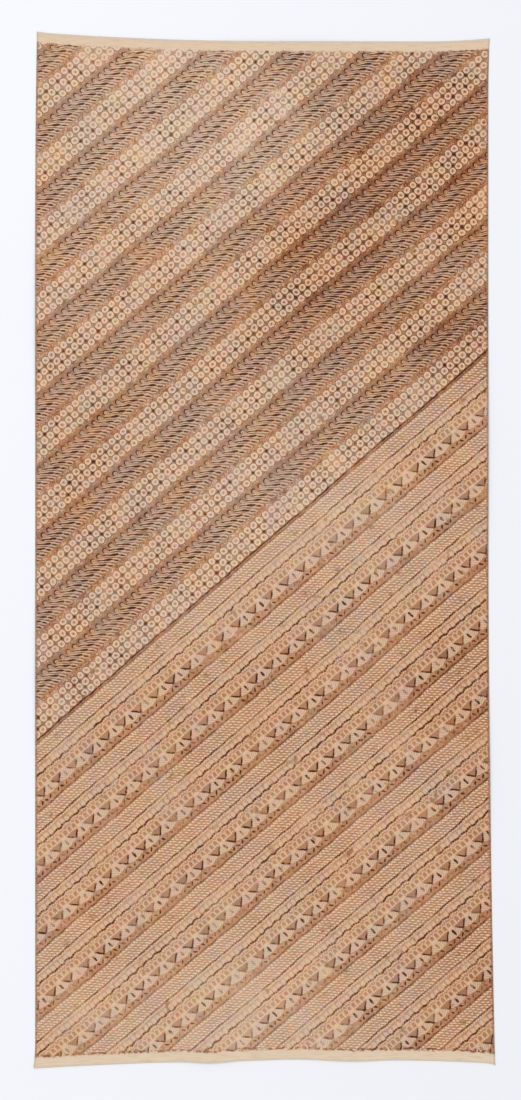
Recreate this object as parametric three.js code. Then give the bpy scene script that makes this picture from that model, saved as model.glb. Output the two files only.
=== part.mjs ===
// A batik cloth laid out flat: one length of thin cotton, as wide as the loom made it, with a narrow turned hem at
// both short ends. Millimetres: +X runs across the cloth, +Y along it and +Z up. The origin lies under the middle
// of the cloth, on the surface that it rests on.
import * as THREE from "three";

// Cloth
const WIDTH = 1060; // selvedge to selvedge, half way along
const LENGTH = 2384; // hem to hem, half way across
const THICKNESS = 1;

// Hem: the cloth turned under itself at each short end
const HEM_WIDTH = 5;
const HEM_THICKNESS = 2;
const HEM_STEP = 2; // along the cloth, from the hem's full height down to the single cloth

// Grid that the cloth is divided into
const COLUMNS = 24;
const ROWS = 44;
const SELVEDGE = 8; // the outermost column on each side

// Outline: each corner is drawn out along the cloth (from its end) or across it (from its side) by "out", and
// the pull dies away over "reach" along that edge. An edge of -1 is the bottom or left one, 1 the top or right.
const END_PULLS = [
  { end: 1, side: -1, out: 21, reach: 585 },
  { end: 1, side: 1, out: 7, reach: 140 },
  { end: -1, side: -1, out: 19, reach: 610 },
  { end: -1, side: 1, out: 8, reach: 235 },
  { end: 1, side: -1, out: 2, reach: 40 },
  { end: -1, side: 1, out: 4, reach: 14 },
];
const SIDE_PULLS = [
  { side: -1, end: 1, out: -4, reach: 440 },
  { side: -1, end: -1, out: 4, reach: 60 },
  { side: 1, end: 1, out: 3, reach: 140 },
  { side: 1, end: -1, out: 16, reach: 1310 },
];

// Small waves in the line of an end: centre across the cloth, how far out, and half the wave's width
const END_WAVES = [
  { end: -1, x: -122, out: 4, reach: 75 },
  { end: -1, x: 65, out: -2, reach: 90 },
  { end: -1, x: 206, out: 2, reach: 90 },
];

// Places along the edges where the cloth stands a little off the surface: centre, height, and half the size each
// way. The four corners lie flat.
const LIFTS = [
  { x: 60, y: 1192, height: 2.5, reachX: 260, reachY: 110 },
  { x: -122, y: -1196, height: 3, reachX: 130, reachY: 120 },
  { x: 206, y: -1192, height: 2, reachX: 110, reachY: 100 },
  { x: -530, y: 560, height: 3, reachX: 110, reachY: 330 },
  { x: -530, y: -300, height: 2.5, reachX: 90, reachY: 300 },
  { x: 530, y: 230, height: 3, reachX: 120, reachY: 360 },
  { x: 532, y: -500, height: 2.5, reachX: 100, reachY: 260 },
];

const lerp = THREE.MathUtils.lerp;

// 1 at a corner, falling smoothly to 0 at the end of its reach
const pullAt = (distance, reach) => Math.max(0, 1 - distance / reach) ** 2;

// 1 at a wave's middle, falling smoothly to 0 at half its width
const waveAt = (distance, reach) =>
  Math.abs(distance) < reach ? Math.cos((Math.PI / 2) * (distance / reach)) ** 2 : 0;

// Y of the top or bottom edge, at x across the cloth
function endLine(end, x) {
  let out = LENGTH / 2;
  for (const pull of END_PULLS.filter((row) => row.end === end)) {
    out += pull.out * pullAt(WIDTH / 2 - pull.side * x, pull.reach);
  }
  for (const wave of END_WAVES.filter((row) => row.end === end)) {
    out += wave.out * waveAt(x - wave.x, wave.reach);
  }
  return end * out;
}

// X of the left or right edge, at y along the cloth
function sideLine(side, y) {
  let out = WIDTH / 2;
  for (const pull of SIDE_PULLS.filter((row) => row.side === side)) {
    out += pull.out * pullAt(LENGTH / 2 - pull.end * y, pull.reach);
  }
  return side * out;
}

// How high the underside stands off the surface
function liftAt(x, y) {
  let height = 0;
  for (const lift of LIFTS) {
    height += lift.height * waveAt(x - lift.x, lift.reachX) * waveAt(y - lift.y, lift.reachY);
  }
  return height;
}

// Grid lines over a length: the given lines in from each end, and even steps between them
function gridLines(length, count, edgeLines) {
  const first = edgeLines.at(-1);
  const lines = [...edgeLines];
  for (let i = 1; i < count; i += 1) {
    lines.push(lerp(first, length - first, i / count));
  }
  return [...lines, ...edgeLines.map((line) => length - line).reverse()];
}

// The cloth as one closed solid: its underside, its face, and the rim between them
function clothGeometry() {
  const across = gridLines(WIDTH, COLUMNS, [0, SELVEDGE]);
  const along = gridLines(LENGTH, ROWS, [0, HEM_WIDTH, HEM_WIDTH + HEM_STEP]);
  const points = [];
  const layer = across.length * along.length;

  for (const face of [0, 1]) {
    for (const v of along) {
      const inHem = Math.min(v, LENGTH - v) <= HEM_WIDTH;
      const thickness = inHem ? HEM_THICKNESS : THICKNESS;
      for (const u of across) {
        const flatX = u - WIDTH / 2;
        const flatY = v - LENGTH / 2;
        const x = lerp(sideLine(-1, flatY), sideLine(1, flatY), u / WIDTH);
        const y = lerp(endLine(-1, flatX), endLine(1, flatX), v / LENGTH);
        points.push(x, y, liftAt(x, y) + face * thickness);
      }
    }
  }

  const at = (face, row, column) => face * layer + row * across.length + column;
  const faces = [];
  const quad = (a, b, c, d) => faces.push(a, b, c, a, c, d);
  const lastRow = along.length - 1;
  const lastColumn = across.length - 1;

  for (let row = 0; row < lastRow; row += 1) {
    for (let column = 0; column < lastColumn; column += 1) {
      quad(at(1, row, column), at(1, row, column + 1), at(1, row + 1, column + 1), at(1, row + 1, column));
      quad(at(0, row, column), at(0, row + 1, column), at(0, row + 1, column + 1), at(0, row, column + 1));
    }
    quad(at(0, row, 0), at(1, row, 0), at(1, row + 1, 0), at(0, row + 1, 0));
    quad(at(0, row, lastColumn), at(0, row + 1, lastColumn), at(1, row + 1, lastColumn), at(1, row, lastColumn));
  }
  for (let column = 0; column < lastColumn; column += 1) {
    quad(at(0, 0, column), at(0, 0, column + 1), at(1, 0, column + 1), at(1, 0, column));
    quad(at(0, lastRow, column), at(1, lastRow, column), at(1, lastRow, column + 1), at(0, lastRow, column + 1));
  }

  const geometry = new THREE.BufferGeometry();
  geometry.setAttribute("position", new THREE.Float32BufferAttribute(points, 3));
  geometry.setIndex(faces);
  geometry.computeBoundingBox();
  const middle = geometry.boundingBox.getCenter(new THREE.Vector3());
  geometry.translate(-middle.x, -middle.y, -geometry.boundingBox.min.z);
  geometry.computeVertexNormals();
  return geometry;
}

const cotton = new THREE.MeshStandardMaterial({ name: "cloth", color: 0xb8906f, roughness: 0.9, metalness: 0 });

const cloth = new THREE.Mesh(clothGeometry(), cotton);
cloth.name = "cloth";

const batikCloth = new THREE.Group();
batikCloth.add(cloth);

export default batikCloth;
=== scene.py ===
"""A batik cloth laid flat and seen from straight above.

The cloth is one thin closed sheet with a turned hem at both short ends. Its dyed drawing is worked out by
shader nodes from the cloth's own measurements: slanting bands of rings and curled feathers on the upper left
half, and of hatching, arches and peaks on the lower right half, with hand-drawn unevenness over both.
"""

import math

import bpy
import numpy as np
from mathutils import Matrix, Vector


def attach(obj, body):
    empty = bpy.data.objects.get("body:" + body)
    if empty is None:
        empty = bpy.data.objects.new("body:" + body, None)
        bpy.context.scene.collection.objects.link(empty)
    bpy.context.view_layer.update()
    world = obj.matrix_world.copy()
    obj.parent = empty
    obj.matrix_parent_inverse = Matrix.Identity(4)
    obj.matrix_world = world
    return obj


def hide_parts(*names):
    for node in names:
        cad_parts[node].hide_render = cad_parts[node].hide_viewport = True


MM = 0.001

# Cloth, in millimetres: as wide and long as the solid, with its hems, and thinner
WIDTH = 1060
LENGTH = 2384
CLOTH_THICKNESS = 0.7
HEM_WIDTH = 5.0
FOLD_RADIUS = 0.9
EDGE_HALF = 0.12  # half the sheet's height at the very edge of a fold

# The outline: corners drawn out along the cloth (from an end) or across it (from a side)
END_PULLS = [
    {"end": 1, "side": -1, "out": 21, "reach": 585},
    {"end": 1, "side": 1, "out": 7, "reach": 140},
    {"end": -1, "side": -1, "out": 19, "reach": 610},
    {"end": -1, "side": 1, "out": 8, "reach": 235},
    {"end": 1, "side": -1, "out": 2, "reach": 40},
    {"end": -1, "side": 1, "out": 4, "reach": 14},
]
SIDE_PULLS = [
    {"side": -1, "end": 1, "out": -4, "reach": 440},
    {"side": -1, "end": -1, "out": 4, "reach": 60},
    {"side": 1, "end": 1, "out": 3, "reach": 140},
    {"side": 1, "end": -1, "out": 16, "reach": 1310},
]
END_WAVES = [
    {"end": -1, "x": -122, "out": 4, "reach": 75},
    {"end": -1, "x": 65, "out": -2, "reach": 90},
    {"end": -1, "x": 206, "out": 2, "reach": 90},
]

# Where the edges stand a little off the surface
LIFTS = [
    {"x": 60, "y": 1192, "height": 2.5, "reach_x": 260, "reach_y": 110},
    {"x": -122, "y": -1196, "height": 3, "reach_x": 130, "reach_y": 120},
    {"x": 206, "y": -1192, "height": 2, "reach_x": 110, "reach_y": 100},
    {"x": -530, "y": 560, "height": 3, "reach_x": 110, "reach_y": 330},
    {"x": -530, "y": -300, "height": 2.5, "reach_x": 90, "reach_y": 300},
    {"x": 530, "y": 230, "height": 3, "reach_x": 120, "reach_y": 360},
    {"x": 532, "y": -500, "height": 2.5, "reach_x": 100, "reach_y": 260},
]

# Mesh of the sheet: steps across and along it, and the grid lines in from its edges
COLUMNS = 104
ROWS = 232
SELVEDGE_LINES = [0, 2, 6]
HEM_LINES = [0, 0.15, 0.5, 1.0, 1.8, 3.0, 4.2, 4.8, 5.0, 5.1, 6.0, 7.2, 9.0]

# Running stitches that hold the hem
STITCH_PITCH = 4.5
STITCH_LENGTH = 3.0
STITCH_WIDTH = 0.5
STITCH_HEIGHT = 0.25
STITCH_SINK = 0.1
STITCH_TAPER = 0.4  # along a stitch, from its tip to its full size
STITCH_TIP = 0.3  # size of the tip, as a share of the full size
STITCH_LINE = 4.2
STITCH_MARGIN = 6

# The drawing's slant, and the point of the line between its halves where that slant is measured from
SLANT = math.radians(40.3)
START = (-536, -442.5)

# Slow wandering of the hand-drawn bands, in millimetres along and across them: a tilt that dies away from the
# line between the halves, and shifts across the bands about four places
TILT = {"along": 573, "per_mm": -0.0095, "reach": 890}
WANDER = [
    {"along": 936, "across": 351, "shift": -5.6, "reach_along": 290, "reach_across": 300},
    {"along": 1060, "across": -440, "shift": -3.5, "reach_along": 260, "reach_across": 260},
    {"along": 1220, "across": -800, "shift": 2.5, "reach_along": 260, "reach_across": 300},
    {"along": 1474, "across": -320, "shift": 5.0, "reach_along": 350, "reach_across": 300},
]

# Broad stains of the hand dyeing: where, half their size across and along the cloth, turned how far, how much
# paler (or, below 0, darker) they leave the dye, and how much redder (or greyer)
STAINS = [
    {"x": -200, "y": 1080, "wide": 540, "high": 900, "turn": 0, "fade": 0.34, "warmth": -0.18},
    {"x": 100, "y": 1130, "wide": 120, "high": 100, "turn": 0, "fade": -0.14, "warmth": 0.02},
    {"x": 50, "y": 940, "wide": 240, "high": 220, "turn": 0, "fade": 0.18, "warmth": -0.10},
    {"x": 118, "y": 750, "wide": 230, "high": 450, "turn": -25, "fade": -0.34, "warmth": 0.26},
    {"x": 380, "y": 960, "wide": 300, "high": 360, "turn": 0, "fade": -0.25, "warmth": 0.16},
    {"x": 480, "y": 850, "wide": 300, "high": 700, "turn": 0, "fade": -0.10, "warmth": 0.18},
    {"x": -310, "y": 680, "wide": 330, "high": 160, "turn": 0, "fade": -0.07, "warmth": 0.25},
    {"x": 220, "y": 620, "wide": 270, "high": 330, "turn": -20, "fade": -0.14, "warmth": 0.20},
    {"x": 500, "y": 810, "wide": 110, "high": 170, "turn": 0, "fade": 0.00, "warmth": 0.42},
    {"x": 470, "y": 490, "wide": 220, "high": 150, "turn": 0, "fade": -0.31, "warmth": 0.06},
    {"x": -470, "y": 640, "wide": 200, "high": 320, "turn": 0, "fade": 0.12, "warmth": -0.05},
    {"x": -440, "y": 150, "wide": 160, "high": 420, "turn": 0, "fade": -0.04, "warmth": 0.16},
    {"x": -40, "y": 150, "wide": 420, "high": 420, "turn": 0, "fade": 0.17, "warmth": -0.12},
    {"x": 60, "y": 260, "wide": 150, "high": 130, "turn": 0, "fade": -0.08, "warmth": 0.18},
    {"x": 240, "y": 90, "wide": 260, "high": 240, "turn": 40, "fade": 0.10, "warmth": -0.13},
    {"x": -170, "y": -170, "wide": 280, "high": 160, "turn": 0, "fade": 0.11, "warmth": -0.05},
    {"x": 0, "y": -390, "wide": 420, "high": 320, "turn": 0, "fade": -0.11, "warmth": 0.20},
    {"x": 400, "y": -300, "wide": 220, "high": 280, "turn": 0, "fade": -0.19, "warmth": 0.22},
    {"x": 560, "y": -500, "wide": 260, "high": 1150, "turn": 0, "fade": -0.21, "warmth": 0.11},
    {"x": 480, "y": -980, "wide": 260, "high": 300, "turn": 0, "fade": -0.16, "warmth": 0.10},
    {"x": 170, "y": -720, "wide": 300, "high": 190, "turn": 0, "fade": -0.10, "warmth": 0.17},
    {"x": -350, "y": -790, "wide": 250, "high": 260, "turn": 0, "fade": -0.02, "warmth": 0.18},
    {"x": -60, "y": -1130, "wide": 420, "high": 380, "turn": 0, "fade": 0.26, "warmth": -0.20},
    {"x": -420, "y": -1090, "wide": 240, "high": 220, "turn": 0, "fade": 0.13, "warmth": -0.04},
]


def pull_at(distance, reach):
    """1 at a corner, falling smoothly to 0 at the end of its reach."""
    return np.maximum(0, 1 - distance / reach) ** 2


def wave_at(distance, reach):
    """1 in the middle, falling smoothly to 0 at the reach on both sides."""
    inside = np.abs(distance) < reach
    return np.where(inside, np.cos(0.5 * math.pi * distance / reach) ** 2, 0)


def end_line(end, x):
    """Y of the top or bottom edge at x across the cloth."""
    out = np.full_like(x, LENGTH / 2)
    for pull in END_PULLS:
        if pull["end"] == end:
            out += pull["out"] * pull_at(WIDTH / 2 - pull["side"] * x, pull["reach"])
    for wave in END_WAVES:
        if wave["end"] == end:
            out += wave["out"] * wave_at(x - wave["x"], wave["reach"])
    return end * out


def side_line(side, y):
    """X of the left or right edge at y along the cloth."""
    out = np.full_like(y, WIDTH / 2)
    for pull in SIDE_PULLS:
        if pull["side"] == side:
            out += pull["out"] * pull_at(LENGTH / 2 - pull["end"] * y, pull["reach"])
    return side * out


def lift_at(x, y):
    """How high the underside stands off the surface."""
    height = np.zeros_like(x)
    for lift in LIFTS:
        wave_x = wave_at(x - lift["x"], lift["reach_x"])
        wave_y = wave_at(y - lift["y"], lift["reach_y"])
        height += lift["height"] * wave_x * wave_y
    return height


def outline_place(across, along):
    """Where a point of the flat rectangle, measured from its lower left corner, lies on the surface."""
    flat_x = across - WIDTH / 2
    flat_y = along - LENGTH / 2
    left, right = side_line(-1, flat_y), side_line(1, flat_y)
    low, high = end_line(-1, flat_x), end_line(1, flat_x)
    x = left + (right - left) * across / WIDTH
    y = low + (high - low) * along / LENGTH
    return x, y


def outline_middle():
    """Middle of the box round the outline, which is the solid's origin."""
    count = 400
    across, along = np.meshgrid(np.linspace(0, WIDTH, count), np.linspace(0, LENGTH, count))
    return [(places.min() + places.max()) / 2 for places in outline_place(across, along)]


MIDDLE = outline_middle()


def face_height(along):
    """Height of the sheet's face over its lift: a rounded fold, the hem, and the single cloth past it."""
    inward = np.minimum(along, LENGTH - along)
    fold = FOLD_RADIUS + np.sqrt(np.maximum(0, FOLD_RADIUS**2 - np.maximum(0, FOLD_RADIUS - inward) ** 2))
    share = np.clip((inward - STITCH_LINE) / (HEM_LINES[-1] - STITCH_LINE), 0, 1)
    eased = share * share * (3 - 2 * share)
    return np.maximum(fold, FOLD_RADIUS + EDGE_HALF) * (1 - eased) + CLOTH_THICKNESS * eased


def underside_height(along):
    """Height of the sheet's underside over its lift: flat under the hem, hollow just inside its step."""
    inward = np.minimum(along, LENGTH - along)
    fold = FOLD_RADIUS - np.sqrt(np.maximum(0, FOLD_RADIUS**2 - np.maximum(0, FOLD_RADIUS - inward) ** 2))
    hollow = np.clip((HEM_LINES[-1] - inward) / (HEM_LINES[-1] - HEM_WIDTH), 0, 1) * CLOTH_THICKNESS
    return np.where(inward <= HEM_WIDTH, np.minimum(fold, FOLD_RADIUS - EDGE_HALF), hollow)


def place_on(across, along, height):
    """Points in metres for places on the flat rectangle and a height over the lifted underside."""
    x, y = outline_place(across, along)
    lift = lift_at(x, y)
    return np.stack([x - MIDDLE[0], y - MIDDLE[1], lift + height], axis=-1) * MM


def grid_lines(length, count, edge_lines):
    """Grid lines over a length: the given lines in from each end, and even steps between them."""
    edge_lines = np.array(edge_lines, dtype=float)
    inner = np.linspace(edge_lines[-1], length - edge_lines[-1], count + 1)[1:-1]
    return np.concatenate([edge_lines, inner, (length - edge_lines)[::-1]])


def new_object(name, points, faces):
    mesh = bpy.data.meshes.new(name)
    mesh.from_pydata([tuple(point) for point in points], [], faces)
    mesh.update()
    made = bpy.data.objects.new(name, mesh)
    bpy.context.scene.collection.objects.link(made)
    return made


def sheet_faces(wide, high):
    """Faces of the underside and the face, which share one grid of points, and of the rim between them."""
    layer = wide * high
    faces = []
    for row in range(high - 1):
        for column in range(wide - 1):
            corner = row * wide + column
            square = [corner, corner + 1, corner + wide + 1, corner + wide]
            faces.append([layer + point for point in square])
            faces.append(square[::-1])
    rim = list(range(wide))
    rim += [row * wide + wide - 1 for row in range(1, high)]
    rim += [(high - 1) * wide + column for column in range(wide - 2, -1, -1)]
    rim += [row * wide for row in range(high - 2, 0, -1)]
    for first, second in zip(rim, rim[1:] + rim[:1]):
        faces.append([first, second, layer + second, layer + first])
    return faces


def make_sheet():
    """The cloth as one closed sheet, with the numbers at its points that its material reads."""
    columns = grid_lines(WIDTH, COLUMNS, SELVEDGE_LINES)
    rows = grid_lines(LENGTH, ROWS, HEM_LINES)
    across, along = np.meshgrid(columns, rows)
    underside = place_on(across, along, underside_height(along))
    face = place_on(across, along, face_height(along))
    points = np.concatenate([underside.reshape(-1, 3), face.reshape(-1, 3)])
    faces = sheet_faces(len(columns), len(rows))

    sheet = new_object("batik_cloth", points, faces)
    mesh = sheet.data
    flat = np.stack([across.ravel() / WIDTH, along.ravel() / LENGTH], axis=-1)
    flat = np.concatenate([flat, flat])
    corners = np.empty(len(mesh.loops), dtype=np.int32)
    mesh.loops.foreach_get("vertex_index", corners)
    layout = mesh.uv_layers.new(name="OFBake")
    layout.data.foreach_set("uv", flat[corners].ravel())
    mesh.polygons.foreach_set("use_smooth", [True] * len(mesh.polygons))

    x, y = points[:, 0] / MM, points[:, 1] / MM
    wander = mesh.attributes.new("wander", "FLOAT", "POINT")
    wander.data.foreach_set("value", wander_at(x, y))
    for name in ("fade", "warmth"):
        stain = mesh.attributes.new(name, "FLOAT", "POINT")
        stain.data.foreach_set("value", stain_at(x, y, name))
    return sheet


def wander_at(x, y):
    """Shift of the bands at a place, across them and towards the lower right."""
    dx, dy = x - START[0], y - START[1]
    along = dx * math.cos(SLANT) + dy * math.sin(SLANT)
    across = dx * math.sin(SLANT) - dy * math.cos(SLANT)
    shift = TILT["per_mm"] * (along - TILT["along"]) * wave_at(across, TILT["reach"])
    for dip in WANDER:
        near = wave_at(along - dip["along"], dip["reach_along"])
        near = near * wave_at(across - dip["across"], dip["reach_across"])
        shift = shift + dip["shift"] * near
    return shift


def stain_at(x, y, name):
    """How far all the stains together change the dye at each place, in the column of that name."""
    total = np.zeros(len(x))
    for stain in STAINS:
        turn = math.radians(stain["turn"])
        dx, dy = x - stain["x"], y - stain["y"]
        side = (dx * math.cos(turn) + dy * math.sin(turn)) / stain["wide"]
        end = (dy * math.cos(turn) - dx * math.sin(turn)) / stain["high"]
        total += wave_at(np.hypot(side, end), 1.0) * stain[name]
    return total


def make_stitches():
    """One row of running stitches along each hem, a little proud of the face."""
    half = STITCH_LENGTH / 2
    stations = np.array([-half, -half + STITCH_TAPER, half - STITCH_TAPER, half])
    swell = np.array([STITCH_TIP, 1.0, 1.0, STITCH_TIP])
    sides = np.array([-STITCH_WIDTH / 2, 0.0, STITCH_WIDTH / 2])
    heights = np.array([-STITCH_SINK, STITCH_HEIGHT, -STITCH_SINK])
    corners = len(sides)
    count = int((WIDTH - 2 * STITCH_MARGIN) / STITCH_PITCH)
    points, faces = [], []
    for line_place in (STITCH_LINE, LENGTH - STITCH_LINE):
        for number in range(count):
            middle = STITCH_MARGIN + (number + 0.5) * STITCH_PITCH
            first = len(points)
            for station, size in zip(stations, swell):
                across = np.full(corners, middle + station)
                along = line_place + sides * size
                rise = face_height(along) + heights * size
                points += list(place_on(across, along, rise))
            last = len(points) - corners
            for ring in range(first, last, corners):
                for corner in range(corners):
                    start, end = ring + corner, ring + (corner + 1) % corners
                    faces.append([start, end, end + corners, start + corners])
            faces.append([first + 2, first + 1, first])
            faces.append([last, last + 1, last + 2])
    return new_object("hem_stitches", points, faces)


class Field:
    """A number that varies over the cloth: a shader socket that takes arithmetic."""

    tree = None

    def __init__(self, socket):
        self.socket = socket

    def __add__(self, other):
        return calc("ADD", self, other)

    def __radd__(self, other):
        return calc("ADD", self, other)

    def __sub__(self, other):
        return calc("SUBTRACT", self, other)

    def __rsub__(self, other):
        return calc("SUBTRACT", other, self)

    def __mul__(self, other):
        return calc("MULTIPLY", self, other)

    def __rmul__(self, other):
        return calc("MULTIPLY", self, other)

    def __abs__(self):
        return calc("ABSOLUTE", self)


def feed(slot, value):
    """Links a field, or writes a plain number or colour, into a node's input."""
    if isinstance(value, Field):
        Field.tree.links.new(value.socket, slot)
    else:
        slot.default_value = value


def add_node(kind, **settings):
    made = Field.tree.nodes.new(kind)
    for name, value in settings.items():
        setattr(made, name, value)
    return made


def calc(operation, *terms):
    """The result of one arithmetic operation on fields and plain numbers."""
    made = add_node("ShaderNodeMath", operation=operation)
    for slot, term in zip(made.inputs, terms):
        feed(slot, term)
    return Field(made.outputs[0])


def step(field, start, end):
    """0 before start, 1 past end and smooth between them; start may be the larger one."""
    made = add_node("ShaderNodeMapRange", interpolation_type="SMOOTHSTEP")
    feed(made.inputs["Value"], field)
    made.inputs["From Min"].default_value = start
    made.inputs["From Max"].default_value = end
    return Field(made.outputs[0])


def under(field, edge, soft=0.8):
    """1 where the field is below the edge, 0 above it."""
    return step(field, edge + soft, edge - soft)


def line(field, centre, half, soft=0.8):
    """1 within half of the centre."""
    return under(abs(field - centre), half, soft)


def between(field, low, high, soft=1.0):
    """1 from low to high."""
    return line(field, (low + high) / 2, (high - low) / 2, soft)


def wrap(field, pitch):
    """Distance from the middle of the nearest cell."""
    return calc("WRAP", field, pitch / 2, -pitch / 2)


def cell(field, pitch):
    """Number of the nearest cell."""
    return calc("FLOOR", calc("MULTIPLY_ADD", field, 1 / pitch, 0.5))


def reach_of(x, y):
    """Distance from the point where both fields are 0."""
    return calc("SQRT", calc("MULTIPLY_ADD", y, y, x * x))


def swing(field, pitch):
    """A wave from -1 to 1 with its crest where the field is 0."""
    return calc("COSINE", field * (2 * math.pi / pitch))


def toward(field, target, share):
    """The field moved towards the target by the share."""
    made = add_node("ShaderNodeMix", data_type="FLOAT", clamp_factor=True)
    feed(made.inputs[0], share)
    feed(made.inputs[2], field)
    feed(made.inputs[3], target)
    return Field(made.outputs[0])


def tint(colour, target, share, blend="MIX"):
    """The colour moved towards the target by the share, or blended with it in another way."""
    made = add_node("ShaderNodeMix", data_type="RGBA", blend_type=blend, clamp_factor=True)
    feed(made.inputs[0], share)
    feed(made.inputs[6], colour)
    feed(made.inputs[7], target)
    return Field(made.outputs[2])


def drift(colour, field, change):
    """The colour, multiplied by 1 where the field is 0.5 and changed in each part as the field leaves it."""
    made = add_node("ShaderNodeVectorMath", operation="MULTIPLY_ADD")
    feed(made.inputs[0], field)
    made.inputs[1].default_value = change
    made.inputs[2].default_value = [1 - part / 2 for part in change]
    return tint(colour, Field(made.outputs[0]), 1.0, "MULTIPLY")


def join(x, y):
    made = add_node("ShaderNodeCombineXYZ")
    feed(made.inputs[0], x)
    feed(made.inputs[1], y)
    return Field(made.outputs[0])


def split(vector):
    made = add_node("ShaderNodeSeparateXYZ")
    feed(made.inputs[0], vector)
    return [Field(socket) for socket in made.outputs]


def noise(place, size, detail=1.0, roughness=0.5, output="Fac"):
    """Smooth noise about 0.5 with features of that size, in millimetres."""
    made = add_node("ShaderNodeTexNoise", noise_dimensions="2D")
    feed(made.inputs["Vector"], place)
    made.inputs["Scale"].default_value = 1 / size
    made.inputs["Detail"].default_value = detail
    made.inputs["Roughness"].default_value = roughness
    return Field(made.outputs[output])


def uneven(place, size, reach, detail=2.0, roughness=0.5):
    """Smooth noise about 0, which ranges over about the reach."""
    return (noise(place, size, detail, roughness) - 0.5) * reach


def from_to(field, low, high):
    """Low where the field is 0 and high where it is 1."""
    return low + field * (high - low)


def chance(x, y):
    """A random number from 0 to 1 for each pair of cell numbers."""
    made = add_node("ShaderNodeTexWhiteNoise", noise_dimensions="2D")
    feed(made.inputs["Vector"], join(x, y))
    return Field(made.outputs["Value"])


def attribute(name):
    """A number kept at the sheet's points under that name."""
    made = add_node("ShaderNodeAttribute", attribute_name=name)
    return Field(made.outputs["Fac"])


def profile(field, length, stops):
    """A value read off a row of stops as the field goes from 0 to length."""
    made = add_node("ShaderNodeValToRGB")
    feed(made.inputs[0], field * (1 / length))
    fill_ramp(made.color_ramp, [(place / length, (value, value, value, 1)) for place, value in stops])
    return Field(made.outputs[0])


def ramp_colour(stops, field):
    """The colour that a field picks from a row of screen colours."""
    made = add_node("ShaderNodeValToRGB")
    fill_ramp(made.color_ramp, [(position, srgb(*colour)) for position, colour in stops])
    feed(made.inputs[0], field)
    return Field(made.outputs[0])


def fill_ramp(ramp, stops):
    while len(ramp.elements) > 1:
        ramp.elements.remove(ramp.elements[-1])
    for number, (position, colour) in enumerate(stops):
        element = ramp.elements.new(position) if number else ramp.elements[0]
        element.position = position
        element.color = colour


def srgb(red, green, blue):
    """A linear colour from 0-255 screen values."""
    parts = []
    for value in (red, green, blue):
        value /= 255
        parts.append(value / 12.92 if value <= 0.04045 else ((value + 0.055) / 1.055) ** 2.4)
    return (*parts, 1.0)


# Lightness of each part of the drawing, as the share of full white that it shows
TONES = {
    "undyed": 0.86,
    "ring outline": 0.39,
    "ring": 0.778,
    "ring hollow": 0.65,
    "ring dash": 0.38,
    "diamond": 0.22,
    "plume": 0.64,
    "plume end": 0.42,
    "plume dash": 0.19,
    "hood": 0.22,
    "head": 0.70,
    "head middle": 0.55,
    "dividing line": 0.18,
    "hatching line": 0.29,
    "hatching": 0.65,
    "hatching dots": 0.788,
    "serrated line": 0.26,
    "upper beads": 0.72,
    "thin line": 0.49,
    "mound": 0.74,
    "mound divider": 0.57,
    "scalloped line": 0.22,
    "scallop dots": 0.77,
    "arch": 0.735,
    "oval": 0.545,
    "lower beads": 0.75,
    "peak": 0.725,
    "peak top": 0.75,
    "triangle": 0.55,
    "triangle side": 0.20,
    "slit": 0.22,
    "foot line": 0.50,
    "tick": 0.20,
    "margin": 0.34,
    "strip spot": 0.28,
    "blotch": 0.38,
}

# Upper half: rings and feathers, in millimetres. A band starts a little above the depth of 0.
RING_PITCH = 18.5
RING_ROW = 18.8
RING_ROWS_HALF = 1.5 * RING_ROW
RING_RADIUS = 8.2
RING_LINE = 0.6  # half the outline's width
RING_SPREAD = 0.5  # the largest rings over the smallest
HOLLOW_RADIUS = 3.9
DIAMOND_HALF = 4.4
HEAD_RADIUS = 3.8
HEAD_OFFSET = 4.0  # along the band, from the rings
PLUME_RUN = 1.79
PLUME_BEND = 0.014
PLUME_PLACE = -0.9
PLUME_SCALLOP = 2.4
UPPER_PERIOD = 122.1
UPPER_TOP = -6.0

# How deep in a band of the upper half each row lies: its middle, or from where to where it goes
UPPER_ROWS = {
    "heads": 7.0,
    "plumes": (12.0, 46.5),
    "plume ends": 47.6,
    "brown strip": (46.0, 58.0),
    "rings": 85.2,
    "brown edge": (108.0, 113.0),
}

# The lightness between the drawn parts, by depth from the band's top
UPPER_GROUND = [
    (0, 0.545),
    (6, 0.50),
    (14, 0.52),
    (20, 0.545),
    (50, 0.565),
    (54, 0.55),
    (60, 0.565),
    (64, 0.635),
    (114, 0.645),
    (118, 0.59),
]

# Dark dashes down a plume: how far beside its middle and how deep in the band, half the width and length, and
# how strong each is
PLUME_DASHES = [
    {"beside": -1.3, "depth": 15.0, "wide": 3.3, "long": 2.5, "strength": 0.95},
    {"beside": -0.8, "depth": 22.0, "wide": 2.2, "long": 10.0, "strength": 0.75},
    {"beside": 0.0, "depth": 28.0, "wide": 4.4, "long": 6.2, "strength": 1.10},
    {"beside": 9.2, "depth": 26.5, "wide": 1.8, "long": 8.5, "strength": 0.55},
    {"beside": -0.6, "depth": 41.0, "wide": 2.7, "long": 4.8, "strength": 0.85},
    {"beside": 8.0, "depth": 41.5, "wide": 1.7, "long": 4.2, "strength": 0.50},
]

# Lower half: hatching, arches and peaks
HATCH_PITCH = 8.6
GRAIN_PITCH = 8.47
GRAIN_START = 9.5
GRAIN_LEAN = 0.06
SERRATION = 0.7
ARCH_PITCH = 12.6
SWAG_RISE = 3.2
PEAK_PITCH = 50.4
STRIAE_PITCH = 5.6
TRIANGLE_SLOPE = 0.96
FOOT_WAVE = 2.2
LOWER_PERIOD = 125.2

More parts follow.
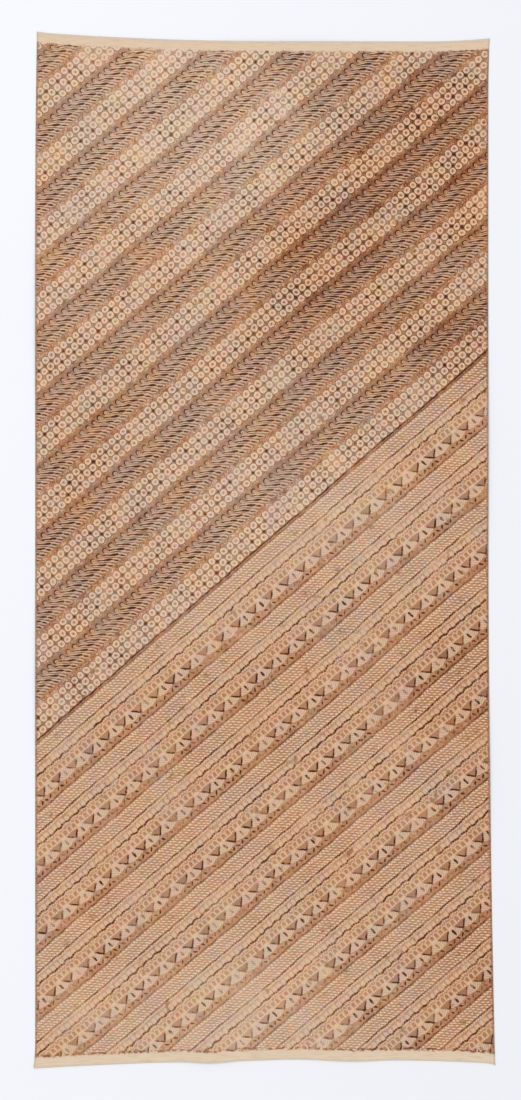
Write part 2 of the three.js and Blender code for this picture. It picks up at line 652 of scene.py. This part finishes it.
# How deep in a band of the lower half each row lies: its middle, or from where to where it goes
LOWER_ROWS = {
    "hatching line": 4.0,
    "hatching": (7.0, 37.0),
    "hatching middle": 22.2,
    "serrated line": 39.6,
    "upper beads": 44.4,
    "thin line": 48.0,
    "mounds": (49.5, 61.0),
    "mound middle": 56.0,
    "scalloped line": 65.4,
    "scallop dots": 69.4,
    "arches": (72.0, 86.4),
    "arch middle": 79.0,
    "ovals": 79.8,
    "lower beads": 88.2,
    "peak tops": 91.0,
    "triangles": (91.2, 109.0),
    "triangle tips": 107.6,
    "slits": 102.0,
    "foot line": 112.6,
    "ticks": 118.8,
}
DOTS_FROM_MIDDLE = 12.7

# The lightness between the drawn parts, by depth in the band
LOWER_GROUND = [
    (0, 0.56),
    (5, 0.57),
    (7, 0.61),
    (36, 0.63),
    (43, 0.67),
    (64, 0.68),
    (72, 0.60),
    (90, 0.59),
    (110, 0.61),
    (114, 0.60),
    (124, 0.59),
]

# The middle row of the last rings above the line between the halves, and that line
LAST_RINGS = -31.0
DIVIDE = -1.4

# Numbers that keep one draw of chance apart from another
RING_DRAW = 17.0
LEAN_DRAW = 5.0
DIAMOND_DRAW = 7.0
UPPER_DRAW = 3.0
LOWER_DRAW = 8.0
OVAL_DRAW = 5.0
TICK_DRAW = 2.0
SLIT_DRAW = 0.5


def leaf(x, y, lean, narrow, long):
    """Distance from the middle of a leaf that slants one way or the other as lean is 1 or -1."""
    return reach_of((x * lean + y) * narrow, (x * lean - y) * long)


def ring_rows(tone, along, depth, number, ink):
    """Three rows of cream rings with a dash in each, and diamonds between them, every other one darker."""
    rows = depth - UPPER_ROWS["rings"]
    here = under(abs(rows), RING_ROWS_HALF + 0.8, soft=0.6)
    column, row = cell(along, RING_PITCH), cell(rows, RING_ROW)
    x, y = wrap(along, RING_PITCH), wrap(rows, RING_ROW)
    lot = chance(column + number * RING_DRAW, row)
    radius = reach_of(x, y) - lot * RING_SPREAD
    outline = line(radius, RING_RADIUS + RING_LINE, half=RING_LINE, soft=0.7)
    tone = toward(tone, TONES["ring outline"], outline * here * ink)
    tone = toward(tone, TONES["ring"], under(radius, RING_RADIUS - 0.4, soft=0.6) * here)
    hollow = under(radius, HOLLOW_RADIUS, soft=1.3)
    tone = toward(tone, TONES["ring hollow"], hollow * here * from_to(lot, 0.6, 1.0))
    lean = calc("SIGN", chance(row + number * LEAN_DRAW, column) - 0.5)
    dash = under(leaf(x, y, lean, narrow=0.55, long=0.25), 1.0, soft=0.35)
    tone = toward(tone, TONES["ring dash"], dash * here * from_to(lot, 0.35, 1.0) * ink)

    shifted, lowered = along + RING_PITCH / 2, rows + RING_ROW / 2
    column, row = cell(shifted, RING_PITCH), cell(lowered, RING_ROW)
    corner = abs(wrap(shifted, RING_PITCH)) + abs(wrap(lowered, RING_ROW))
    odd = calc("PINGPONG", column + row, 1.0)
    inner = under(abs(rows), RING_ROW, soft=1.0)
    diamond = under(corner, DIAMOND_HALF, soft=0.9) * from_to(inner, 0.35, 1.0)
    diamond = diamond * under(abs(rows), RING_ROWS_HALF + 4.0, soft=1.0)
    lot = chance(column, row + number * DIAMOND_DRAW)
    return toward(tone, TONES["diamond"], diamond * (0.14 + odd * 0.48 + lot * 0.34) * ink)


def feathers(tone, along, depth, ink):
    """A row of curled heads with dark hoods, each trailing a slanting plume split by dark dashes."""
    x = wrap(along, RING_PITCH)
    y = depth - UPPER_ROWS["heads"]
    plume = wrap(along - y * (PLUME_RUN - y * PLUME_BEND) - PLUME_PLACE, RING_PITCH)
    tip = depth - swing(plume, RING_PITCH) * PLUME_SCALLOP
    stripes = swing(plume, RING_PITCH / 2) * 0.09
    tone = toward(tone, TONES["plume"] - stripes, between(tip, *UPPER_ROWS["plumes"], soft=1.0))
    plume_end = line(tip, UPPER_ROWS["plume ends"], half=0.8, soft=0.7)
    tone = toward(tone, TONES["plume end"], plume_end * ink * 0.8)
    for dash in PLUME_DASHES:
        beside = wrap(plume - dash["beside"], RING_PITCH) * (1 / dash["wide"])
        down = (depth - dash["depth"]) * (1 / dash["long"])
        shape = step(reach_of(beside, down), start=1.15, end=0.85)
        tone = toward(tone, TONES["plume dash"], shape * ink * dash["strength"])
    hood = under(reach_of(x + 0.6, y + 1.5), HEAD_RADIUS + 2.1, soft=0.7)
    hood = hood * under(y + x * 0.6, 1.6, soft=1.6)
    tone = toward(tone, TONES["hood"], hood * ink)
    radius = reach_of(x, y)
    tone = toward(tone, TONES["head"], under(radius, HEAD_RADIUS, soft=0.7))
    return toward(tone, TONES["head middle"], under(radius, 2.0, soft=1.2))


def upper_half(along, across, ink, fleck):
    """Lightness of the rings and feathers, and how warm the dye is."""
    fall = across - (LAST_RINGS - UPPER_ROWS["rings"])
    depth = calc("WRAP", fall, UPPER_PERIOD + UPPER_TOP, UPPER_TOP)
    number = calc("FLOOR", (fall - UPPER_TOP) * (1 / UPPER_PERIOD))
    offset = along + chance(number, UPPER_DRAW) * RING_PITCH
    strips = between(depth, *UPPER_ROWS["brown strip"], soft=2.0) + step(depth, *UPPER_ROWS["brown edge"])
    tone = profile(depth - UPPER_TOP, UPPER_PERIOD, UPPER_GROUND) + fleck * from_to(strips, 1.0, 2.6)
    tone = ring_rows(tone, offset, depth, number, ink * ink)
    tone = feathers(tone, offset + HEAD_OFFSET, depth, ink)
    warm = UPPER_WARMTH + between(depth, low=45.0, high=57.0, soft=2.0) * 0.27
    warm = warm + step(depth, start=109.0, end=114.0) * 0.24
    dark_in_rings = between(depth, low=60.0, high=110.0) * under(tone, 0.45, soft=0.08)
    warm = warm - dark_in_rings * 0.18
    return tone, warm - between(depth, low=3.0, high=44.0, soft=2.0) * 0.06


def hatching(tone, along, depth, ink):
    """Slanting cream strokes between two rows of dots, with a dark line above and a serrated one below."""
    serration = swing(along, HATCH_PITCH) * SERRATION
    top = line(depth - serration, LOWER_ROWS["hatching line"], half=1.3, soft=0.8)
    tone = toward(tone, TONES["hatching line"], top * ink)
    strokes = swing(along - depth, HATCH_PITCH)
    grains = swing(depth - GRAIN_START - along * GRAIN_LEAN, GRAIN_PITCH)
    woven = strokes * (0.10 + grains * 0.06) + grains * 0.05
    tone = toward(tone, TONES["hatching"] + woven, between(depth, *LOWER_ROWS["hatching"], soft=0.8))
    from_row = abs(depth - LOWER_ROWS["hatching middle"]) - DOTS_FROM_MIDDLE
    dots = under(reach_of(wrap(along, HATCH_PITCH), from_row), 2.5, soft=0.7)
    tone = toward(tone, TONES["hatching dots"], dots)
    bottom = line(depth + serration, LOWER_ROWS["serrated line"], half=1.5, soft=0.9)
    return toward(tone, TONES["serrated line"], bottom * ink)


def mounds(tone, along, depth, ink):
    """A row of cream mounds between a thin line and a dark scalloped one with a row of dots under it."""
    x = wrap(along, ARCH_PITCH)
    beads = swing(along, ARCH_PITCH / 2)
    upper_beads = line(depth, LOWER_ROWS["upper beads"], half=1.5, soft=0.6)
    tone = toward(tone, TONES["upper beads"] + beads * 0.08, upper_beads)
    thin = line(depth, LOWER_ROWS["thin line"], half=0.7, soft=0.6)
    tone = toward(tone, TONES["thin line"], thin * (0.7 + beads * 0.3) * ink)
    here = between(depth, *LOWER_ROWS["mounds"], soft=0.6)
    bow = reach_of(x, calc("MINIMUM", depth - LOWER_ROWS["mound middle"], 0.0))
    tone = toward(tone, TONES["mound"], under(bow, 4.8, soft=0.8) * here)
    tone = toward(tone, TONES["mound divider"], step(abs(x), start=5.3, end=6.1) * here * ink)
    swags = abs(swing(along, ARCH_PITCH * 4))
    scallops = line(depth + swags * SWAG_RISE, LOWER_ROWS["scalloped line"], half=2.2, soft=0.8)
    tone = toward(tone, TONES["scalloped line"], scallops * (0.97 + beads * 0.45) * ink)
    dot = reach_of(wrap(along, ARCH_PITCH / 2), depth - LOWER_ROWS["scallop dots"] + swags * (SWAG_RISE / 2))
    return toward(tone, TONES["scallop dots"], under(dot, 1.9, soft=0.7))


def arches(tone, along, depth):
    """A row of brown ovals under cream arches, over a beaded line."""
    x = wrap(along, ARCH_PITCH)
    here = between(depth, *LOWER_ROWS["arches"], soft=0.6)
    bow = reach_of(x, calc("MINIMUM", depth - LOWER_ROWS["arch middle"], 0.0))
    tone = toward(tone, TONES["arch"], line(bow, 5.4, half=1.3, soft=0.7) * here)
    lot = chance(cell(along, ARCH_PITCH), OVAL_DRAW)
    oval = under(reach_of(x * 1.2, depth - LOWER_ROWS["ovals"]), 4.0, soft=1.4)
    tone = toward(tone, TONES["oval"], oval * from_to(lot, 0.35, 1.0))
    lower_beads = line(depth, LOWER_ROWS["lower beads"], half=1.4, soft=0.6)
    return toward(tone, TONES["lower beads"] + swing(along, ARCH_PITCH / 2) * 0.05, lower_beads)


def peaks(tone, along, depth, ink, number):
    """Cream peaks with a dark slit in each, between dark-sided triangles, down to a thin wavy line.

    It gives the lightness and where the brown fill of the triangles is.
    """
    x = wrap(along, PEAK_PITCH)
    peak = wrap(along + PEAK_PITCH / 2, PEAK_PITCH)
    foot = depth + swing(along, PEAK_PITCH) * FOOT_WAVE
    striae = swing(abs(peak) * 0.8 + depth, STRIAE_PITCH)
    here = step(depth, start=90.1, end=91.5) * under(foot, LOWER_ROWS["foot line"], soft=0.8)
    tone = toward(tone, TONES["peak"] + striae * 0.05, here)
    top = reach_of(peak * 0.7, calc("MINIMUM", depth - LOWER_ROWS["peak tops"], 0.0))
    top = under(top, 6.0, soft=1.0) * under(depth, LOWER_ROWS["peak tops"] + 1.0, soft=0.8)
    tone = toward(tone, TONES["peak top"], top)

    half = (LOWER_ROWS["triangle tips"] - depth) * TRIANGLE_SLOPE
    hanging = between(depth, *LOWER_ROWS["triangles"], soft=0.7)
    fill = under(abs(x) - half, 0.0, soft=0.8) * hanging
    lot = chance(number, cell(along, PEAK_PITCH))
    tone = toward(tone, TONES["triangle"], fill * from_to(lot, 0.75, 1.15))
    right = line(x - half, 0.2, half=2.7, soft=0.9) * from_to(lot, 0.6, 1.3)
    left = line(x + half, -0.2, half=2.7, soft=0.9) * from_to(lot, 1.3, 0.6)
    sides = calc("MAXIMUM", right, left) * step(depth, start=90.5, end=96.0)
    tone = toward(tone, TONES["triangle side"], sides * hanging * ink * 1.15)

    lot = chance(number, cell(along + PEAK_PITCH / 2, PEAK_PITCH) + SLIT_DRAW)
    down = depth - LOWER_ROWS["slits"]
    slit = under(reach_of((peak - down * 0.1) * 0.36, down * 0.135), 1.0, soft=0.25)
    tone = toward(tone, TONES["slit"], slit * ink * from_to(lot, 0.5, 1.2))
    foot_line = line(foot, LOWER_ROWS["foot line"], half=0.7, soft=0.6)
    return toward(tone, TONES["foot line"], foot_line * ink), fill


def ticks(tone, along, depth, ink):
    """A row of short dark strokes that lean one way and the other in turn, some of them faint."""
    number = cell(along, ARCH_PITCH)
    lean = calc("PINGPONG", number, 1.0) * 2.0 - 1.0
    tick = leaf(wrap(along, ARCH_PITCH), depth - LOWER_ROWS["ticks"], lean, narrow=0.34, long=0.14)
    strength = step(chance(number, TICK_DRAW), start=-0.4, end=0.6)
    return toward(tone, TONES["tick"], under(tick, 1.0, soft=0.3) * strength * ink)


def lower_half(along, across, ink, fleck):
    """Lightness of the hatching, arches and peaks, and how warm the dye is."""
    depth = calc("WRAP", across, LOWER_PERIOD, 0.0)
    number = calc("FLOOR", across * (1 / LOWER_PERIOD))
    offset = along + chance(number, LOWER_DRAW) * PEAK_PITCH
    tone = profile(depth, LOWER_PERIOD, LOWER_GROUND) + fleck
    tone = hatching(tone, offset, depth, ink)
    tone = mounds(tone, offset, depth, ink)
    tone = arches(tone, offset, depth)
    tone, fill = peaks(tone, offset, depth, ink, number)
    tone = ticks(tone, offset, depth, ink)
    warm = LOWER_WARMTH + between(depth, low=67.0, high=87.0, soft=3.0) * 0.17
    warm = warm + step(depth, start=110.0, end=114.0) * 0.26
    return tone, warm - between(depth, low=91.0, high=110.0) * (1.0 - fill) * 0.24


# Screen colours of the cotton where the dye is greyest and reddest, from the darkest line to undyed thread
GREY_DYE = [
    (0.20, (70, 36, 18)),
    (0.40, (125, 90, 70)),
    (0.60, (170, 138, 118)),
    (0.76, (210, 184, 161)),
    (0.86, (234, 214, 193)),
]
RED_DYE = [
    (0.20, (80, 34, 8)),
    (0.40, (145, 87, 50)),
    (0.60, (191, 140, 103)),
    (0.76, (226, 186, 151)),
    (0.86, (243, 215, 186)),
]

# How red the dye is in each half of the drawing, on the scale from 0 to 1 between those two rows of colours
UPPER_WARMTH = 0.46
LOWER_WARMTH = 0.63

# Shake of the hand that drew the lines: the size of its turns and its reach, in millimetres
SHAKES = [(150, 5.0), (22, 4.0), (5, 1.8)]

# Uneven dyeing: sizes of the patches in which the dye turns redder or greyer, greener or pinker, and paler
WARM_PATCHES = (8, 18, 45, 120)
GREEN_PATCHES = (8, 24, 60)
GREEN_CHANGE = (-0.075, 0.11, -0.075)
PALE_PATCH = 70

# The undyed strips at the hems, which are a little greener at the lower one, and the colours of the painted
# shade along the hems' folds and the side edges
UPPER_PLAIN = (225, 200, 173)
LOWER_PLAIN = (226, 205, 179)
PLAIN_STREAKS = (214, 189, 161)
PLAIN_STRIP = 23.6
SPOTS_PAST_STRIP = 3.5
MARGIN = 4.5
# Painted shade: greyer colours for the outermost few millimetres, at the hems' folds and along the side edges
HEM_EDGE_SHADE = (207, 195, 184)
SIDE_EDGE_SHADE = (162, 144, 134)

# The cotton's weave, of two threads in each pitch, and the twist of the hem's thread, whose ridges are
# painted as stripes of shade
WEAVE_PITCH = 1.2
WEAVE_DEPTH = 0.12
TWIST_PITCH = 0.55
THREAD = (214, 196, 170)
THREAD_PAINTED_SHADE = (198, 178, 150)

# The floor, in metres, and its screen colours at the left and the right of the cloth, where painted shade
# makes it darker
FLOOR_HALF = 40.0
FLOOR_HEIGHT = -0.4 * MM
FLOOR_LEFT = (246, 247, 252)
FLOOR_RIGHT_SHADED = (242, 243, 248)

# The camera and what it shows, in metres, and the height of its sensor in millimetres
CAMERA_X = -0.009
CAMERA_HEIGHT = 6.0
FRAME_TALL = 2.574
SENSOR = 36


def new_material(name):
    """A material with its shader's inputs; the fields that follow are made in it."""
    material = bpy.data.materials.new(name)
    material.use_nodes = True
    Field.tree = material.node_tree
    Field.tree.nodes.clear()
    shader = add_node("ShaderNodeBsdfPrincipled")
    output = add_node("ShaderNodeOutputMaterial")
    Field.tree.links.new(shader.outputs[0], output.inputs["Surface"])
    return material, shader.inputs


def object_place():
    """Place on the cloth in millimetres, from the solid's origin."""
    coordinates = add_node("ShaderNodeTexCoord")
    x, y, _ = split(Field(coordinates.outputs["Object"]))
    return x * (1 / MM), y * (1 / MM)


def weave_bump(x, y, shader):
    """Plain weave: threads over and under each other, about 17 a centimetre."""
    weave = swing(x, WEAVE_PITCH) * swing(y, WEAVE_PITCH)
    made = add_node("ShaderNodeBump")
    made.inputs["Strength"].default_value = 0.35
    made.inputs["Distance"].default_value = WEAVE_DEPTH * MM
    feed(made.inputs["Height"], weave)
    feed(shader["Normal"], Field(made.outputs["Normal"]))


def drawn_place(place, x, y):
    """How far a place lies along the bands and across them, with the shake of the hand that drew them."""
    drawn_x, drawn_y = x - START[0], y - START[1]
    for size, reach in SHAKES:
        shake = split(noise(place, size, output="Color"))
        drawn_x = drawn_x + (shake[0] - 0.5) * reach
        drawn_y = drawn_y + (shake[1] - 0.5) * reach
    along = drawn_x * math.cos(SLANT) + drawn_y * math.sin(SLANT)
    across = drawn_x * math.sin(SLANT) - drawn_y * math.cos(SLANT)
    return along, across - attribute("wander")


def drawing(place, along, across):
    """Lightness of both halves and of the line between them, how warm the dye is, and 1 past that line."""
    ink = 0.50 + step(noise(place, 80, detail=3.0), start=0.32, end=0.64) * 0.45
    ink = ink + step(noise(place, 15), start=0.36, end=0.62) * 0.28
    gaps = step(noise(place, 12), start=0.38, end=0.58)
    worn = from_to(step(noise(place, 170, detail=2.0), start=0.38, end=0.58), 0.66, 1.16)
    fleck = uneven(place, 3.5, 0.20) + uneven(place, 14, 0.20)
    upper, upper_warm = upper_half(along, across, ink, fleck)
    lower, lower_warm = lower_half(along, across, ink * worn * from_to(gaps, 0.47, 1.09), fleck)
    past = step(across, DIVIDE - 0.6, DIVIDE + 0.6)
    tone = toward(upper, lower, past)
    divide = line(across, DIVIDE, half=1.9, soft=0.7)
    tone = toward(tone, TONES["dividing line"], divide * from_to(gaps, 0.6, 1.1) * ink)
    return tone, toward(upper_warm, lower_warm, past), past


def from_edges():
    """Distances from the flat cloth's nearer side edge and its nearer end, and the share of the way up it."""
    layout = add_node("ShaderNodeUVMap", uv_map="OFBake")
    u, v, _ = split(Field(layout.outputs[0]))
    side = calc("MINIMUM", u, 1.0 - u) * WIDTH
    end = calc("MINIMUM", v, 1.0 - v) * LENGTH
    return side, end, v


def edge_marks(tone, place, smears, side, ragged, up):
    """The lightness with dark smears along both side edges and dark spots along the lower plain strip."""
    margin = under(side + uneven(place, 8, 5.0), MARGIN, soft=1.2)
    tone = toward(tone, TONES["margin"] + step(smears, start=0.38, end=0.52) * 0.24, margin * 0.75)
    spots = line(ragged, PLAIN_STRIP + SPOTS_PAST_STRIP, half=2.5, soft=2.0)
    spots = spots * step(noise(place, 9), start=0.46, end=0.58)
    return toward(tone, TONES["strip spot"], spots * under(up, 0.5, soft=0.01) * 0.8)


def dyed_colour(tone, warm, place, past):
    """Screen colour of the dyed cotton, with its blotches, its stains and the slow changes of its hue."""
    tone = tone + uneven(place, 5, 0.10, roughness=0.7)
    blotches = step(noise(place, 30, detail=4.0, roughness=0.6), start=0.62, end=0.78)
    tone = toward(tone, TONES["blotch"], blotches * 0.55)
    fade = attribute("fade") + uneven(place, PALE_PATCH, 0.35)
    paler = calc("MAXIMUM", fade, 0.0) * toward(tone * 1.6, 1.0, past) + calc("MINIMUM", fade, 0.0)
    tone = tone + paler * (TONES["undyed"] - tone)
    warm = warm + attribute("warmth")
    for size in WARM_PATCHES:
        warm = warm + uneven(place, size, toward(1.35, 1.0, past))
    colour = tint(ramp_colour(GREY_DYE, tone), ramp_colour(RED_DYE, tone), warm)
    for size in GREEN_PATCHES:
        colour = drift(colour, noise(place, size, detail=2.0), GREEN_CHANGE)
    return colour


def plain_edges(colour, streaks, side, end, ragged, up):
    """The colour with the undyed strips at both ends, and painted shade along the side edges and the folded
    edges of the hems.
    """
    plain = tint(srgb(*LOWER_PLAIN), srgb(*UPPER_PLAIN), up)
    plain = tint(plain, srgb(*PLAIN_STREAKS), step(streaks, start=0.40, end=0.80))
    colour = tint(colour, plain, under(ragged, PLAIN_STRIP, soft=3.0))
    # Painted shade: a greyer line along the side edges, where the cloth turns down
    colour = tint(colour, srgb(*SIDE_EDGE_SHADE), under(side, 2.6, soft=2.4) * 0.42)
    # Painted shade: a greyer line at the folded edge of each hem
    return tint(colour, srgb(*HEM_EDGE_SHADE), under(end, 3.0, soft=1.6) * 0.8)


def cloth_material():
    """Plain-woven cotton, with the dyed drawing on both of its sides."""
    material, shader = new_material("batik_cotton")
    x, y = object_place()
    place = join(x, y)
    along, across = drawn_place(place, x, y)
    tone, warm, past = drawing(place, along, across)
    side, end, up = from_edges()
    ragged = end + uneven(place, 10, 9.0)
    smears = noise(join(x * 0.25, y), 3.2, detail=2.0)
    tone = edge_marks(tone, place, smears, side, ragged, up)
    colour = dyed_colour(tone, warm, place, past)
    streaks = noise(join(x * 0.06, y), 2.2, detail=2.0)
    colour = plain_edges(colour, streaks, side, end, ragged, up)

    feed(shader["Base Color"], colour)
    shader["Roughness"].default_value = 0.88
    shader["Specular IOR Level"].default_value = 0.25
    shader["Sheen Weight"].default_value = 0.08
    shader["Sheen Roughness"].default_value = 0.5
    weave_bump(x, y, shader)
    return material


def thread_material():
    """Undyed sewing thread, with painted shade in stripes along its twist."""
    material, shader = new_material("hem_thread")
    x, y = object_place()
    # Painted shade: darker stripes along the thread's twist
    twist_shade = swing(x + y, TWIST_PITCH)
    feed(shader["Base Color"], tint(srgb(*THREAD), srgb(*THREAD_PAINTED_SHADE), twist_shade * 0.5 + 0.5))
    shader["Roughness"].default_value = 0.8
    return material


def floor_material():
    """Plain and pale, with painted shade that makes it a little darker to the right."""
    material, shader = new_material("pale_floor")
    x, _ = object_place()
    # Painted shade: the floor's colour darkens towards the right
    shade_rightward = step(x, start=-900, end=900)
    feed(shader["Base Color"], tint(srgb(*FLOOR_LEFT), srgb(*FLOOR_RIGHT_SHADED), shade_rightward))
    shader["Roughness"].default_value = 0.9
    shader["Specular IOR Level"].default_value = 0.0
    return material


def make_floor():
    corners = [(-1, -1), (1, -1), (1, 1), (-1, 1)]
    points = [(x * FLOOR_HALF, y * FLOOR_HALF, FLOOR_HEIGHT) for x, y in corners]
    floor = new_object("floor", points, [[0, 1, 2, 3]])
    floor.data.materials.append(floor_material())


def make_light(name, place, size, power):
    """A round soft light that points at the middle of the cloth."""
    lamp = bpy.data.lights.new(name, "AREA")
    lamp.shape = "DISK"
    lamp.size = size
    lamp.energy = power
    made = bpy.data.objects.new(name, lamp)
    made.location = place
    made.rotation_euler = (-Vector(place)).to_track_quat("-Z", "Y").to_euler()
    bpy.context.scene.collection.objects.link(made)


def make_world(strength):
    """Even white light from all sides."""
    world = bpy.data.worlds.new("studio")
    world.use_nodes = True
    background = world.node_tree.nodes["Background"]
    background.inputs["Color"].default_value = (1.0, 1.0, 1.0, 1.0)
    background.inputs["Strength"].default_value = strength
    bpy.context.scene.world = world


def make_camera():
    """Straight above the middle of the photo's frame, with the lens that shows as much as the photo."""
    lens = bpy.data.cameras.new("camera")
    lens.sensor_fit = "VERTICAL"
    lens.sensor_height = SENSOR
    lens.lens = SENSOR * CAMERA_HEIGHT / FRAME_TALL
    camera = bpy.data.objects.new("camera", lens)
    camera.location = (CAMERA_X, 0.0, CAMERA_HEIGHT)
    bpy.context.scene.collection.objects.link(camera)
    bpy.context.scene.camera = camera


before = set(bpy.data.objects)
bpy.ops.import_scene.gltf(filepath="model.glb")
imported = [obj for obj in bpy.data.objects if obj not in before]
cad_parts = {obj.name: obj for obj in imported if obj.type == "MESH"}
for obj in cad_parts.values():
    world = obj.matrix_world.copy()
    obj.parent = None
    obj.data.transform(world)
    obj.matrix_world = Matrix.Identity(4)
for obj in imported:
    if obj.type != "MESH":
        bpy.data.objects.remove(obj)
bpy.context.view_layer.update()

make_camera()
make_world(strength=0.86)
make_light("key_light", place=(-4.5, 5.0, 9.5), size=4.0, power=240)
bpy.context.scene.view_settings.view_transform = "Standard"
make_floor()

sheet = make_sheet()
sheet.data.materials.append(cloth_material())
stitches = make_stitches()
stitches.data.materials.append(thread_material())
for piece in (sheet, stitches):
    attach(piece, "root")
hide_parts("cloth")
